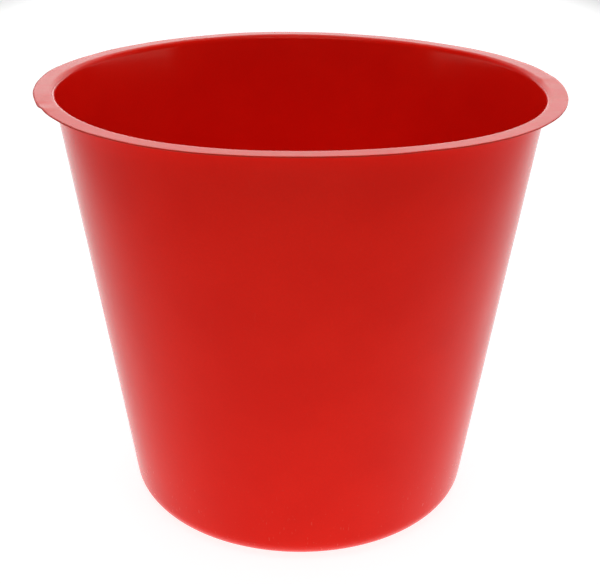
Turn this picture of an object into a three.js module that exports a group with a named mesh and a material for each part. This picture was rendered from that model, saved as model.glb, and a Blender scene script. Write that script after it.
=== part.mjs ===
// A round plastic sand bucket: one thin sheet drawn into a tapered cup with a flat rim flange.
// Millimetres, +Z up. The origin is on the ground, at the middle of the base.

import * as THREE from 'three';

// Driving dimensions
const height = 170.8;
const rimDiameter = 200;
const wallTopDiameter = 185.6; // outside of the wall, where it meets the flange
const baseDiameter = 137.3; // outside of the wall's line, carried down to the ground
const sheetGauge = 0.55; // thickness of the sheet, the same everywhere
const baseCornerRadius = 10; // outside of the round corner between wall and base
const rimBendRadius = 2.4; // inside the mouth, from the wall over to the flange
const ringInnerDiameter = 108; // the flat ring that the bucket stands on starts here
const panelRise = 1.8; // the middle of the base is this far above the ground
const panelStepAngle = THREE.MathUtils.degToRad(45);

// How finely the round shapes are cut
const segmentsAround = 96;
const cornerSteps = 8;
const bendSteps = 5;

// Worked out from the dimensions above
const rimRadius = rimDiameter / 2;
const baseRadius = baseDiameter / 2;
const wallLean = Math.atan((wallTopDiameter - baseDiameter) / 2 / (height - sheetGauge));
const downward = -Math.PI / 2;
const upward = Math.PI / 2;
const outOfWall = -wallLean;
const intoMouth = Math.PI - wallLean;

// Points along an arc in the bucket's half section, where x is the radius and y is the height.
function arc(centre, radius, startAngle, endAngle, steps) {
  const points = [];
  for (let i = 0; i <= steps; i++) {
    const angle = startAngle + ((endAngle - startAngle) * i) / steps;
    points.push(
      new THREE.Vector2(
        centre.x + radius * Math.cos(angle),
        centre.y + radius * Math.sin(angle),
      ),
    );
  }
  return points;
}

// The corner's centre is one radius above the ground and one radius inside the wall's line.
function cornerCentre() {
  const halfCorner = (Math.PI / 2 + wallLean) / 2;
  return new THREE.Vector2(baseRadius - baseCornerRadius / Math.tan(halfCorner), baseCornerRadius);
}

// The bend's centre is one bend radius below the flange's top, outside the wall.
function bendCentre() {
  const y = height - rimBendRadius;
  const wallOutside = baseRadius + y * Math.tan(wallLean);
  return new THREE.Vector2(wallOutside + (rimBendRadius - sheetGauge) / Math.cos(wallLean), y);
}

// Outside of the sheet, from the axis under the base up to the edge of the flange.
function outsideProfile() {
  const ringInner = ringInnerDiameter / 2;
  const panelRadius = ringInner - panelRise / Math.tan(panelStepAngle);
  return [
    new THREE.Vector2(0, panelRise),
    new THREE.Vector2(panelRadius, panelRise),
    new THREE.Vector2(ringInner, 0),
    ...arc(cornerCentre(), baseCornerRadius, downward, outOfWall, cornerSteps),
    ...arc(bendCentre(), rimBendRadius - sheetGauge, intoMouth, upward, bendSteps),
    new THREE.Vector2(rimRadius, height - sheetGauge),
  ];
}

// Inside of the sheet, from the edge of the flange down into the bucket and in to the axis.
function insideProfile() {
  const mitre = sheetGauge * Math.tan(panelStepAngle / 2);
  const ringInner = ringInnerDiameter / 2 + mitre;
  const panelRadius = ringInner - panelRise / Math.tan(panelStepAngle);
  return [
    new THREE.Vector2(rimRadius, height),
    ...arc(bendCentre(), rimBendRadius, upward, intoMouth, bendSteps),
    ...arc(cornerCentre(), baseCornerRadius - sheetGauge, outOfWall, downward, cornerSteps),
    new THREE.Vector2(ringInner, sheetGauge),
    new THREE.Vector2(panelRadius, panelRise + sheetGauge),
    new THREE.Vector2(0, panelRise + sheetGauge),
  ];
}

function makeShell() {
  const profile = [...outsideProfile(), ...insideProfile()];
  const geometry = new THREE.LatheGeometry(profile, segmentsAround);
  geometry.rotateX(Math.PI / 2); // the lathe turns about Y, and the bucket stands along Z
  const redPlastic = new THREE.MeshStandardMaterial({
    color: 0xc81e14,
    roughness: 0.4,
    metalness: 0,
  });
  const shell = new THREE.Mesh(geometry, redPlastic);
  shell.name = 'bucket_shell';
  return shell;
}

const bucket = new THREE.Group();
bucket.add(makeShell());

export default bucket;
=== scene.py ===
"""A red plastic sand bucket on a light table: one thin formed sheet with a flat rim flange."""
import math

import bmesh
import bpy
import numpy as np
from mathutils import Matrix, Vector


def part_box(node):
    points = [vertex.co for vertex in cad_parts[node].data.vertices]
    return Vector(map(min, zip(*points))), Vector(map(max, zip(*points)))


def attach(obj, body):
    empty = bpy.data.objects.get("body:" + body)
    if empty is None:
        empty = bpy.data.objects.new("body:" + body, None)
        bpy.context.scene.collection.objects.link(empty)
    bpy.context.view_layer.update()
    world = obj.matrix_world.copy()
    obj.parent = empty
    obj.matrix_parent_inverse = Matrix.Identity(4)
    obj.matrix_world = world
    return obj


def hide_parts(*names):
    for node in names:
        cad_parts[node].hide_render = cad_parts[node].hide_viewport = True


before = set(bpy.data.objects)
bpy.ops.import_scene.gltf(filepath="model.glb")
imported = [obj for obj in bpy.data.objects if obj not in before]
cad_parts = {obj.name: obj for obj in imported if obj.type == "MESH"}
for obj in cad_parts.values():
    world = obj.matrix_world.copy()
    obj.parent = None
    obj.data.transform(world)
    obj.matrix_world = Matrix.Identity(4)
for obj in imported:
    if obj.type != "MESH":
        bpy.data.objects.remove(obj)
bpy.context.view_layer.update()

MM = 0.001
UP, DOWN = math.pi / 2, -math.pi / 2  # directions in the half section
WHITE, BLACK = (1, 1, 1, 1), (0, 0, 0, 1)

# The bucket's own dimensions, as the CAD part has them
LOW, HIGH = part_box("bucket_shell")
HEIGHT = HIGH.z - LOW.z
RIM_RADIUS = (HIGH.x - LOW.x) / 2
WALL_TOP_RADIUS = 92.8 * MM  # outside of the wall, where it meets the flange
BASE_RADIUS = 68.65 * MM  # outside of the wall's line, carried down to the ground
GAUGE = 0.55 * MM
CORNER_RADIUS = 10 * MM  # outside of the foot
BEND_RADIUS = 2.4 * MM  # inside the mouth
RING_INNER_RADIUS = 54 * MM
PANEL_RISE = 1.8 * MM
PANEL_STEP_ANGLE = math.radians(45)
WALL_LEAN = math.atan((WALL_TOP_RADIUS - BASE_RADIUS) / (HEIGHT - GAUGE))

# Small roundings that the CAD part leaves out
STEP_ROUND = 0.9 * MM  # both ends of the step up to the base's raised panel
EDGE_ROUND = 0.12 * MM  # the flange's cut edge

# How finely the shape is cut
SEGMENTS_AROUND = 360
PANEL_STEPS = 10
PANEL_ROUND_STEPS = 5
RING_STEPS = 4
CORNER_STEPS = 14
WALL_STEPS = 44
OUTER_BEND_STEPS = 8
INNER_BEND_STEPS = 12
FLANGE_STEPS = 8
EDGE_STEPS = 3


# ---------------------------------------------------------------- the half section

def arc(centre, radius, start, end, steps):
    """Points along an arc of the half section, as (radius, height)."""
    angles = np.linspace(start, end, steps + 1)
    return [(centre[0] + radius * math.cos(a), centre[1] + radius * math.sin(a)) for a in angles]


def straight(start, end, steps):
    """Points between start and end, with neither of them."""
    return [
        (start[0] + (end[0] - start[0]) * i / steps, start[1] + (end[1] - start[1]) * i / steps)
        for i in range(1, steps)
    ]


def corner_centre():
    half_corner = (math.pi / 2 + WALL_LEAN) / 2
    return (BASE_RADIUS - CORNER_RADIUS / math.tan(half_corner), CORNER_RADIUS)


def bend_centre():
    height = HEIGHT - BEND_RADIUS
    wall_outside = BASE_RADIUS + height * math.tan(WALL_LEAN)
    return (wall_outside + (BEND_RADIUS - GAUGE) / math.cos(WALL_LEAN), height)


def base_section(depth):
    """The base, from its middle out to the standing ring.

    depth says where in the sheet: 0 is its underside and GAUGE is its top."""
    ring = RING_INNER_RADIUS + depth * math.tan(PANEL_STEP_ANGLE / 2)
    panel = ring - PANEL_RISE / math.tan(PANEL_STEP_ANGLE)
    panel_round = STEP_ROUND + (depth - GAUGE / 2)
    ring_round = STEP_ROUND - (depth - GAUGE / 2)
    panel_tangent = panel_round * math.tan(PANEL_STEP_ANGLE / 2)
    ring_tangent = ring_round * math.tan(PANEL_STEP_ANGLE / 2)
    top = PANEL_RISE + depth
    over_centre = (panel - panel_tangent, top - panel_round)
    under_centre = (ring + ring_tangent, depth + ring_round)
    over = arc(over_centre, panel_round, UP, UP - PANEL_STEP_ANGLE, PANEL_ROUND_STEPS)
    under = arc(under_centre, ring_round, DOWN - PANEL_STEP_ANGLE, DOWN, PANEL_ROUND_STEPS)
    panel_points = [(over[0][0] * i / PANEL_STEPS, top) for i in range(PANEL_STEPS)]
    return panel_points + over + under


def sheet_section():
    """The whole outline: under the base, up the outside, over the flange, down the inside."""
    out_of_wall, into_mouth = -WALL_LEAN, math.pi - WALL_LEAN
    outside = base_section(0)
    corner = arc(corner_centre(), CORNER_RADIUS, DOWN, out_of_wall, CORNER_STEPS)
    outside += straight(outside[-1], corner[0], RING_STEPS) + corner
    bend = arc(bend_centre(), BEND_RADIUS - GAUGE, into_mouth, UP, OUTER_BEND_STEPS)
    outside += straight(corner[-1], bend[0], WALL_STEPS) + bend
    edge_low = (RIM_RADIUS - EDGE_ROUND, HEIGHT - GAUGE + EDGE_ROUND)
    edge_high = (RIM_RADIUS - EDGE_ROUND, HEIGHT - EDGE_ROUND)
    edge = arc(edge_low, EDGE_ROUND, DOWN, 0, EDGE_STEPS) + arc(edge_high, EDGE_ROUND, 0, UP, EDGE_STEPS)
    outside += straight(bend[-1], edge[0], FLANGE_STEPS)
    inner_bend = arc(bend_centre(), BEND_RADIUS, UP, into_mouth, INNER_BEND_STEPS)
    inside = straight(edge[-1], inner_bend[0], FLANGE_STEPS) + inner_bend
    inner_corner = arc(corner_centre(), CORNER_RADIUS - GAUGE, out_of_wall, DOWN, CORNER_STEPS)
    inside += straight(inner_bend[-1], inner_corner[0], WALL_STEPS) + inner_corner
    inner_base = base_section(GAUGE)[::-1]
    inside += straight(inner_corner[-1], inner_base[0], RING_STEPS) + inner_base
    return outside + edge + inside


# ---------------------------------------------------------------- the sheet's unevenness

# Slow waves, as (waves round the rim, cosine part and sine part in mm)
RIM_LIFT = ((1, -0.26, -0.27), (2, -0.18, -0.05), (3, -0.10, 0.16), (4, 0.21, 0.20))
RIM_SPREAD = ((1, -0.18, 0), (2, 0.07, 0.07), (3, -0.09, -0.04))

# Small ripples, as (height in mm, ripples round the rim, phase)
FLANGE_RIPPLES = ((0.028, 11, 0.6), (0.0224, 17, 2.1), (0.0168, 29, 4.0))
LIP_RIPPLES = ((0.012, 19, 0.9),)
EDGE_RIPPLES = ((0.045, 13, 1.0), (0.0315, 23, 0.3), (0.027, 41, 2.6))

# Folds, as (height in mm, degrees round, half width in degrees)
FLANGE_FOLDS = ((0.30, 204, 2.6), (-0.07, 8, 3.6), (0.10, 168, 5.0))
LIP_FOLDS = ((0.17, 5, 3.0), (-0.08, 196, 3.5), (0.06, 118, 5.0))
EDGE_FOLDS = ((-0.12, 204, 2.4),)
FOLD_SLOPE = 1.65  # at the fold's line, in heights per half width

# The wall's hollows, as (degrees round, height in mm, degrees wide, mm high, depth in mm). A depth below 0
# makes a swelling.
WALL_HOLLOWS = (
    (-29, 92, 6, 13, 0.16), (-38, 50, 9, 18, -0.08), (-22, 128, 8, 14, -0.07),
    (-146, 74, 9, 20, 0.08), (-158, 122, 8, 16, -0.07), (-92, 60, 14, 24, 0.05),
    (38, 88, 14, 26, 0.07), (97, 112, 14, 24, -0.06), (152, 70, 12, 26, 0.07),
)

# Where each kind starts to show and where it is full. The first four are measured down from the rim.
LIFT_START, LIFT_FULL = 22 * MM, 2 * MM
LIP_START, LIP_FULL = 6 * MM, 1 * MM
SPREAD_START = 0.2 * HEIGHT  # up from the ground
TRIM_WIDTH = 3 * MM  # in from the flange's edge


def smoothstep(low, high, values):
    """0 below low and 1 above high, with a smooth change between them."""
    share = np.clip((values - low) / (high - low), 0, 1)
    return share * share * (3 - 2 * share)


def turned_from(angle, degrees_round):
    """The angle from a direction, between half a turn back and half a turn on."""
    return (angle - math.radians(degrees_round) + math.pi) % (2 * math.pi) - math.pi


def slow_waves(angle, waves):
    return sum(
        MM * (cosine * np.cos(count * angle) + sine * np.sin(count * angle))
        for count, cosine, sine in waves
    )


def ripples(angle, waves):
    return sum(MM * height * np.sin(count * angle + phase) for height, count, phase in waves)


def folds(angle, creases):
    """Each fold rises on one side of its line and dips on the other, by about 0.7 of its height."""
    total = np.zeros_like(angle)
    for height, degrees_round, half_width in creases:
        across = turned_from(angle, degrees_round) / math.radians(half_width)
        total = total + MM * height * FOLD_SLOPE * across * np.exp(-across ** 2)
    return total


def hollows(angle, height):
    """How far the wall is pushed outwards. It is below 0 in a hollow."""
    total = np.zeros_like(angle)
    for degrees_round, up, wide, high, depth in WALL_HOLLOWS:
        across = turned_from(angle, degrees_round) / math.radians(wide)
        along = (height / MM - up) / high
        total = total - MM * depth * np.exp(-across ** 2 - along ** 2)
    return total


def uneven(angle, radius, height):
    """Where the sheet's points really are, as (radius, height): a thin sheet never cools quite true."""
    near_rim = smoothstep(HEIGHT - LIFT_START, HEIGHT - LIFT_FULL, height)
    up_the_wall = smoothstep(SPREAD_START, HEIGHT, height)
    on_wall = smoothstep(CORNER_RADIUS, 3 * CORNER_RADIUS, height)
    out_on_flange = near_rim * smoothstep(WALL_TOP_RADIUS, RIM_RADIUS, radius)
    at_lip = smoothstep(HEIGHT - LIP_START, HEIGHT - LIP_FULL, height) * (1 - out_on_flange)
    at_edge = near_rim * smoothstep(RIM_RADIUS - TRIM_WIDTH, RIM_RADIUS, radius)
    lifted = height + near_rim * slow_waves(angle, RIM_LIFT)
    lifted = lifted + out_on_flange * (ripples(angle, FLANGE_RIPPLES) + folds(angle, FLANGE_FOLDS))
    lifted = lifted + at_lip * (ripples(angle, LIP_RIPPLES) + folds(angle, LIP_FOLDS))
    spread = radius + up_the_wall * slow_waves(angle, RIM_SPREAD) + on_wall * hollows(angle, height)
    spread = spread + at_edge * (ripples(angle, EDGE_RIPPLES) + folds(angle, EDGE_FOLDS))
    return spread, lifted


# ---------------------------------------------------------------- the mesh

def add_object(name, data):
    thing = bpy.data.objects.new(name, data)
    bpy.context.scene.collection.objects.link(thing)
    return thing


def turned_mesh(name, section):
    """The section turned about Z, closed at both ends by a vertex on the axis."""
    rings = np.array(section[1:-1])
    angles = np.linspace(0, 2 * math.pi, SEGMENTS_AROUND, endpoint=False)
    angle = np.tile(angles, (len(rings), 1))
    flat_radius = np.repeat(rings[:, :1], SEGMENTS_AROUND, axis=1)
    flat_height = np.repeat(rings[:, 1:], SEGMENTS_AROUND, axis=1)
    radius, height = uneven(angle, flat_radius, flat_height)
    points = np.stack([radius * np.cos(angle), radius * np.sin(angle), height], -1).reshape(-1, 3)
    under, over = len(points), len(points) + 1
    points = np.vstack([points, [(0, 0, section[0][1]), (0, 0, section[-1][1])]])
    faces = []
    for ring in range(len(rings) - 1):
        here, beyond = ring * SEGMENTS_AROUND, (ring + 1) * SEGMENTS_AROUND
        for i in range(SEGMENTS_AROUND):
            j = (i + 1) % SEGMENTS_AROUND
            faces.append((here + i, here + j, beyond + j, beyond + i))
    last_ring = (len(rings) - 1) * SEGMENTS_AROUND
    for i in range(SEGMENTS_AROUND):
        j = (i + 1) % SEGMENTS_AROUND
        faces.append((under, j, i))
        faces.append((over, last_ring + i, last_ring + j))
    mesh = bpy.data.meshes.new(name)
    mesh.from_pydata(points.tolist(), [], faces)
    mesh.shade_smooth()
    return add_object(name, mesh)


# ---------------------------------------------------------------- the plastic

# Sizes of the blotches in the plastic
CLOUD_SIZE = 34 * MM
PATCH_SIZE = 6 * MM
WEAR_SIZE = 3.5 * MM
ORANGE_PEEL_SIZE = 2.2 * MM
SPECK_SIZE = 1.3 * MM
GRAIN_SIZE = 0.9 * MM

DEEP_RED = (0.885, 0.0085, 0.0030, 1)
BRIGHT_RED = (0.935, 0.0110, 0.0040, 1)
GRAIN_RED = (0.74, 0.012, 0.006, 1)
# A paler pink, mixed in patches on the flange only: a painted sheen that stands in for the flange's grazing
# reflection
PAINTED_FLANGE_SHEEN = (0.74, 0.10, 0.045, 1)
WORN_RED = (0.86, 0.16, 0.12, 1)
# A dark red for the flange's cut edge: painted shade, not the plastic's own colour
PAINTED_EDGE_SHADE = (0.34, 0.03, 0.02, 1)

# How much of each colour is mixed in where it is strongest
GRAIN_SHARE, FLANGE_SHEEN_SHARE, WORN_SHARE, EDGE_SHADE_SHARE = 0.14, 0.24, 0.35, 0.45

SMOOTH_ROUGHNESS, CLOUDY_ROUGHNESS = 0.135, 0.175
PATCH_ROUGHNESS, WEAR_ROUGHNESS, CUT_ROUGHNESS = 0.03, 0.25, 0.45
SCUFF_WEAR = 0.7  # a scuff's share of full wear

# The relief is made of the orange peel and the grain, less the scuffs
PEEL_RELIEF, GRAIN_RELIEF, SCUFF_RELIEF = 0.7, 0.3, 0.5
RELIEF_DEPTH = 0.02 * MM
RELIEF_STRENGTH = 0.35

INDEX_OF_REFRACTION = 1.22
SPECULAR_TINT = (1, 0.8, 0.6, 1)


def new_material(name):
    """A material with the Principled shader that Blender gives it."""
    material = bpy.data.materials.new(name)
    material.use_nodes = True
    return material


class Nodes:
    """A short way to add and join a material's nodes. Textures read the Object coordinates, in metres."""

    MIX_FACTOR, MIX_FIRST, MIX_SECOND, MIX_RESULT = 0, 6, 7, 2  # the Mix node's colour sockets

    def __init__(self, material):
        self.tree = material.node_tree
        self.shader = self.tree.nodes["Principled BSDF"]
        self.place = self.add("ShaderNodeTexCoord").outputs["Object"]

    def add(self, kind, **settings):
        node = self.tree.nodes.new(kind)
        for name, value in settings.items():
            setattr(node, name, value)
        return node

    def plug(self, node, inputs):
        """Join or set some of a node's inputs, each given by its name or its number."""
        for key, value in inputs.items():
            if isinstance(value, bpy.types.NodeSocket):
                self.tree.links.new(value, node.inputs[key])
            else:
                node.inputs[key].default_value = value

    def noise(self, size, detail, place=None):
        """Soft random blotches about as wide as size, from 0 to 1."""
        node = self.add("ShaderNodeTexNoise")
        self.plug(node, {"Vector": place or self.place, "Scale": 1 / size})
        self.plug(node, {"Detail": detail, "Roughness": 0.5})
        return node.outputs["Fac"]

    def turned_place(self, across, along, turn):
        """The coordinates turned about X and Z, then multiplied by across in X and Y and by along in Z."""
        node = self.add("ShaderNodeMapping")
        self.plug(node, {"Vector": self.place, "Rotation": (turn, 0, turn), "Scale": (across, across, along)})
        return node.outputs["Vector"]

    def ramp(self, value, low, high, start=0.0, end=1.0):
        """A smooth change from start, where value is low, to end, where it is high."""
        node = self.add("ShaderNodeMapRange", interpolation_type="SMOOTHSTEP")
        self.plug(node, {"Value": value, "From Min": low, "From Max": high, "To Min": start, "To Max": end})
        return node.outputs["Result"]

    def maths(self, operation, first, second=0.0):
        node = self.add("ShaderNodeMath", operation=operation)
        self.plug(node, {0: first, 1: second})
        return node.outputs["Value"]

    def vector_maths(self, operation, first, second=(0, 0, 0)):
        node = self.add("ShaderNodeVectorMath", operation=operation)
        self.plug(node, {0: first, 1: second})
        return node

    def mix(self, share, first, second):
        node = self.add("ShaderNodeMix", data_type="RGBA")
        self.plug(node, {self.MIX_FACTOR: share, self.MIX_FIRST: first, self.MIX_SECOND: second})
        return node.outputs[self.MIX_RESULT]

    def radius_and_height(self):
        flat = self.vector_maths("MULTIPLY", self.place, (1, 1, 0))
        length = self.vector_maths("LENGTH", flat.outputs["Vector"])
        parts = self.add("ShaderNodeSeparateXYZ")
        self.plug(parts, {0: self.place})
        return length.outputs["Value"], parts.outputs["Z"]


def on_flange(nodes, radius, height):
    """1 on the flange and 0 elsewhere."""
    high_up = nodes.ramp(height, HEIGHT - 2.2 * MM, HEIGHT - 1.0 * MM)
    far_out = nodes.ramp(radius, WALL_TOP_RADIUS - 0.5 * MM, WALL_TOP_RADIUS + 1.5 * MM)
    return nodes.maths("MULTIPLY", high_up, far_out)


def on_cut_edge(nodes, radius, patch):
    """1 on the flange's cut edge, and less in patches."""
    far_out = nodes.ramp(radius, RIM_RADIUS - 0.32 * MM, RIM_RADIUS - 0.10 * MM)
    return nodes.maths("MULTIPLY", far_out, nodes.ramp(patch, 0.25, 0.6, 0.6, 1.0))


def on_outside_of_corner(nodes, radius, height):
    """1 on the outside of the sheet at the rounded foot, and 0 on its inside."""
    centre_radius, centre_height = corner_centre()
    across = nodes.maths("POWER", nodes.maths("SUBTRACT", radius, centre_radius), 2.0)
    along = nodes.maths("POWER", nodes.maths("SUBTRACT", height, centre_height), 2.0)
    reach = nodes.maths("SQRT", nodes.maths("ADD", across, along))
    far_out = nodes.ramp(radius, centre_radius - 0.5 * MM, centre_radius)
    outer_half = nodes.ramp(reach, CORNER_RADIUS - 0.35 * MM, CORNER_RADIUS - 0.15 * MM)
    return nodes.maths("MULTIPLY", far_out, outer_half)


def foot_wear(nodes, radius, height):
    """Patches where the foot and the standing ring have rubbed on the ground."""
    low_on_corner = nodes.ramp(height, 0.3 * MM, 4 * MM, 1.0, 0.0)
    round_foot = nodes.maths("MULTIPLY", low_on_corner, on_outside_of_corner(nodes, radius, height))
    on_ground = nodes.ramp(height, 0.15 * MM, 0.4 * MM, 1.0, 0.0)
    foot = nodes.maths("MAXIMUM", round_foot, on_ground)
    return nodes.maths("MULTIPLY", foot, nodes.ramp(nodes.noise(WEAR_SIZE, 4.0), 0.42, 0.68))


def scratches(nodes, across, along, turn, low, high):
    """Thin streaks up the wall. A metre holds as many as across says in X and Y, and along in Z."""
    return nodes.ramp(nodes.noise(1.0, 1.0, nodes.turned_place(across, along, turn)), low, high)


def scuffs(nodes, height):
    """Scratches that lean both ways, and specks, mostly low on the wall."""
    low_down = nodes.ramp(height, 6 * MM, 46 * MM, 1.0, 0.12)
    leaning_one_way = scratches(nodes, 1300, 170, 0.25, 0.72, 0.78)
    leaning_other_way = scratches(nodes, 1100, 210, -0.45, 0.735, 0.79)
    specks = nodes.ramp(nodes.noise(SPECK_SIZE, 0.0, nodes.turned_place(1, 1, 0.9)), 0.80, 0.86)
    marks = nodes.maths("MAXIMUM", nodes.maths("MAXIMUM", leaning_one_way, leaning_other_way), specks)
    return nodes.maths("MULTIPLY", marks, low_down)


def red_plastic():
    """Glossy red plastic, a little cloudy, with faint scuffs low on the wall and a rougher cut edge. The cut
    edge is also darkened with painted shade, and paler pink patches on the flange are a painted sheen.
    """
    material = new_material("red_plastic")
    nodes = Nodes(material)
    radius, height = nodes.radius_and_height()
    cloud = nodes.noise(CLOUD_SIZE, 3.0)
    grain = nodes.noise(GRAIN_SIZE, 2.0)
    patch = nodes.noise(PATCH_SIZE, 3.0)
    orange_peel = nodes.noise(ORANGE_PEEL_SIZE, 1.0)
    cut_edge = on_cut_edge(nodes, radius, patch)
    marks = scuffs(nodes, height)
    scuffed = nodes.maths("MULTIPLY", marks, SCUFF_WEAR)
    wear = nodes.maths("MAXIMUM", scuffed, foot_wear(nodes, radius, height))

    # Painted sheen: paler pink patches on the flange
    flange_sheen_patch = nodes.ramp(patch, 0.38, 0.62, 0.0, FLANGE_SHEEN_SHARE)
    flange_sheen_patch = nodes.maths("MULTIPLY", on_flange(nodes, radius, height), flange_sheen_patch)
    colour = nodes.mix(nodes.ramp(cloud, 0.3, 0.7), DEEP_RED, BRIGHT_RED)
    colour = nodes.mix(nodes.ramp(grain, 0.3, 0.7, 0.0, GRAIN_SHARE), colour, GRAIN_RED)
    colour = nodes.mix(flange_sheen_patch, colour, PAINTED_FLANGE_SHEEN)
    colour = nodes.mix(nodes.maths("MULTIPLY", wear, WORN_SHARE), colour, WORN_RED)
    # Painted shade: the cut edge's colour is darkened. Its higher roughness, set below, is the real cut face
    colour = nodes.mix(nodes.maths("MULTIPLY", cut_edge, EDGE_SHADE_SHARE), colour, PAINTED_EDGE_SHADE)

    rough = nodes.ramp(cloud, 0.3, 0.7, SMOOTH_ROUGHNESS, CLOUDY_ROUGHNESS)
    rough = nodes.maths("ADD", rough, nodes.ramp(patch, 0.35, 0.7, 0.0, PATCH_ROUGHNESS))
    rough = nodes.maths("ADD", rough, nodes.maths("MULTIPLY", wear, WEAR_ROUGHNESS))
    rough = nodes.maths("MAXIMUM", rough, nodes.maths("MULTIPLY", cut_edge, CUT_ROUGHNESS))

    relief = nodes.maths("MULTIPLY", orange_peel, PEEL_RELIEF)
    relief = nodes.maths("ADD", relief, nodes.maths("MULTIPLY", grain, GRAIN_RELIEF))
    relief = nodes.maths("SUBTRACT", relief, nodes.maths("MULTIPLY", marks, SCUFF_RELIEF))
    bump = nodes.add("ShaderNodeBump")
    nodes.plug(bump, {"Strength": RELIEF_STRENGTH, "Distance": RELIEF_DEPTH, "Height": relief})

    nodes.plug(nodes.shader, {"Base Color": colour, "Roughness": rough, "Normal": bump.outputs["Normal"]})
    nodes.plug(nodes.shader, {"IOR": INDEX_OF_REFRACTION, "Specular Tint": SPECULAR_TINT})
    return material


# ---------------------------------------------------------------- the stage, in metres

FLOOR_REACH = 6.0
FLOOR_DROP = 0.05 * MM  # below the bucket's base, so that the two don't share a plane
FLOOR_GREY = (0.42, 0.42, 0.42, 1)
FLOOR_ROUGHNESS = 0.9
GLOW_CENTRE = (0, 0.75, 0)  # behind the bucket
GLOW_SQUEEZE = (2.2, 1, 1)  # the glow is longer from front to back than from side to side
GLOW_NEAR, GLOW_FAR = 0.87, 1.10  # the glow falls between these distances from its centre
BRIGHT_GLOW, DIM_GLOW = 0.87, 0.52

DOME_RADIUS = 5.8
DOME_GLOW = 0.74

CARD_GREY = (0.03, 0.03, 0.03, 1)
CARD_HALF_WIDTH, CARD_HEIGHT, CARD_DISTANCE = 1.0, 0.45, 0.5

WORLD_RADIANCE = 0.05
LAMP_AIM = Vector((0, 0, 80 * MM))

# Lamps, as (name, azimuth, elevation, distance, width, height, radiance). The angles are in degrees:
# azimuth 0 is in front of the bucket, and 90 is to the right of somebody who looks at it from there.
LAMPS = (
    ("key", 0, 48, 1.3, 1.8, 0.8, 0.28),
    ("pool", 0, 67, 0.6, 0.35, 0.3, 2.3),
    ("bounce", 0, -6, 0.36, 1.0, 0.08, 0.75),
    ("low_left", -100, 6, 1.3, 1.4, 0.25, 2.1),
    ("low_right", 100, 6, 1.3, 1.4, 0.25, 2.4),
    ("overhead", 0, 90, 1.2, 0.9, 0.9, 1.0),
    ("overhead_back", 180, 60, 1.2, 0.9, 0.7, 1.1),
    ("horizon", 180, 5, 1.5, 1.6, 0.22, 2.4),
    ("backdrop", 180, 20, 1.5, 1.6, 0.45, 1.65),
    ("backdrop_high", 180, 37, 1.5, 1.6, 0.45, 1.3),
    ("backdrop_left", -130, 18, 1.5, 1.4, 0.45, 0.4),
    ("backdrop_right", 130, 18, 1.5, 1.4, 0.45, 0.5),
    ("backdrop_high_left", -130, 35, 1.5, 1.4, 0.45, 0.3),
    ("backdrop_high_right", 130, 35, 1.5, 1.4, 0.45, 0.5),
)
GLOSS_ONLY_LAMPS = ("horizon", "backdrop", "backdrop_high")  # these don't flood the inside with light

CAMERA_DISTANCE, CAMERA_HEIGHT = 434.4 * MM, 273.4 * MM
CAMERA_PITCH, CAMERA_ROLL = math.radians(23.63), math.radians(0.47)
SENSOR_WIDTH, LENS, NEAREST = 36, 68.98, 0.01  # the first two in mm


def flat_panel(name, corners, material):
    """A piece of the stage with four corners."""
    mesh = bpy.data.meshes.new(name)
    mesh.from_pydata(corners, [], [(0, 1, 2, 3)])
    mesh.materials.append(material)
    panel = add_object(name, mesh)
    return panel


def plain_material(name, colour, glow=0.0):
    """One even colour, with a white glow."""
    material = new_material(name)
    shader = material.node_tree.nodes["Principled BSDF"]
    shader.inputs["Base Color"].default_value = colour
    shader.inputs["Emission Color"].default_value = WHITE
    shader.inputs["Emission Strength"].default_value = glow
    return material


def pale_floor():
    """A pale grey that glows most round GLOW_CENTRE."""
    material = new_material("pale_floor")
    nodes = Nodes(material)
    squeezed = nodes.vector_maths("MULTIPLY", nodes.place, GLOW_SQUEEZE)
    distance = nodes.vector_maths("DISTANCE", squeezed.outputs["Vector"], GLOW_CENTRE)
    glow = nodes.ramp(distance.outputs["Value"], GLOW_NEAR, GLOW_FAR, BRIGHT_GLOW, DIM_GLOW)
    nodes.plug(nodes.shader, {"Base Color": FLOOR_GREY, "Roughness": FLOOR_ROUGHNESS})
    nodes.plug(nodes.shader, {"Emission Color": WHITE, "Emission Strength": glow})
    return material


def make_floor():
    """A light table, bright round and behind the bucket, so that the bucket throws next to no shadow."""
    reach, z = FLOOR_REACH, -FLOOR_DROP
    corners = [(-reach, -reach, z), (reach, -reach, z), (reach, reach, z), (-reach, reach, z)]
    flat_panel("floor", corners, pale_floor())


def make_backdrop():
    """A pale dome behind everything. Only the camera sees it, so it adds no light."""
    mesh = bpy.data.meshes.new("backdrop")
    shape = bmesh.new()
    bmesh.ops.create_uvsphere(shape, u_segments=64, v_segments=32, radius=DOME_RADIUS)
    shape.to_mesh(mesh)
    shape.free()
    mesh.materials.append(plain_material("pale_backdrop", BLACK, DOME_GLOW))
    dome = add_object("backdrop", mesh)
    dome.visible_diffuse = dome.visible_glossy = dome.visible_transmission = dome.visible_shadow = False


def make_dark_card():
    """A dark card across the front of the studio, behind the camera. The camera doesn't see it."""
    left, right, y, top = -CARD_HALF_WIDTH, CARD_HALF_WIDTH, -CARD_DISTANCE, CARD_HEIGHT
    corners = [(left, y, 0), (right, y, 0), (right, y, top), (left, y, top)]
    card = flat_panel("flag", corners, plain_material("dark_card", CARD_GREY))
    card.visible_camera = False


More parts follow.
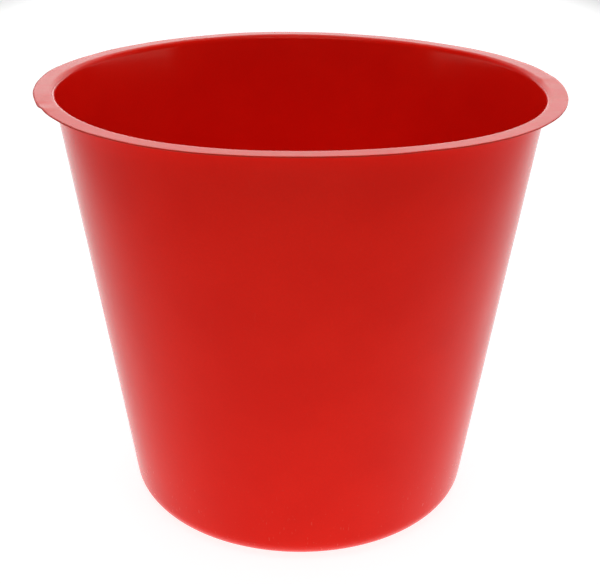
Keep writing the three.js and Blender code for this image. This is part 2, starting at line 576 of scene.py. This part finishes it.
def light_world():
    world = bpy.data.worlds.new("studio")
    world.use_nodes = True
    background = world.node_tree.nodes["Background"]
    background.inputs["Color"].default_value = WHITE
    background.inputs["Strength"].default_value = WORLD_RADIANCE
    bpy.context.scene.world = world


def make_lamp(name, azimuth, elevation, distance, width, height, radiance):
    """A rectangular lamp, turned to the bucket."""
    around, up = math.radians(azimuth), math.radians(elevation)
    outwards = Vector((math.sin(around), -math.cos(around), 0))
    place = LAMP_AIM + distance * (outwards * math.cos(up) + Vector((0, 0, math.sin(up))))
    data = bpy.data.lights.new(name, "AREA")
    data.shape = "RECTANGLE"
    data.size, data.size_y = width, height
    data.energy = radiance * math.pi * width * height
    lamp = add_object(name, data)
    turn = (LAMP_AIM - place).to_track_quat("-Z", "Y").to_matrix().to_4x4()
    lamp.matrix_world = Matrix.Translation(place) @ turn
    lamp.visible_camera = False
    lamp.visible_diffuse = name not in GLOSS_ONLY_LAMPS


def make_camera():
    """The camera stands in front of the bucket and above its rim, and leans by half a degree."""
    data = bpy.data.cameras.new("camera")
    data.sensor_width = SENSOR_WIDTH
    data.lens = LENS
    data.clip_start = NEAREST
    camera = add_object("camera", data)
    right = Vector((1, 0, 0))
    forward = Vector((0, math.cos(CAMERA_PITCH), -math.sin(CAMERA_PITCH)))
    up = right.cross(forward)
    leaning_right = right * math.cos(CAMERA_ROLL) + up * math.sin(CAMERA_ROLL)
    leaning_up = up * math.cos(CAMERA_ROLL) - right * math.sin(CAMERA_ROLL)
    turn = Matrix((leaning_right, leaning_up, -forward)).transposed()
    camera.matrix_world = Matrix.Translation((0, -CAMERA_DISTANCE, CAMERA_HEIGHT)) @ turn.to_4x4()
    bpy.context.scene.camera = camera


# ---------------------------------------------------------------- the scene

make_camera()
shell = turned_mesh("bucket", sheet_section())
shell.data.materials.append(red_plastic())
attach(shell, "root")
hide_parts("bucket_shell")
make_floor()
make_backdrop()
light_world()
make_dark_card()
for lamp in LAMPS:
    make_lamp(*lamp)
bpy.context.scene.view_settings.view_transform = "Standard"
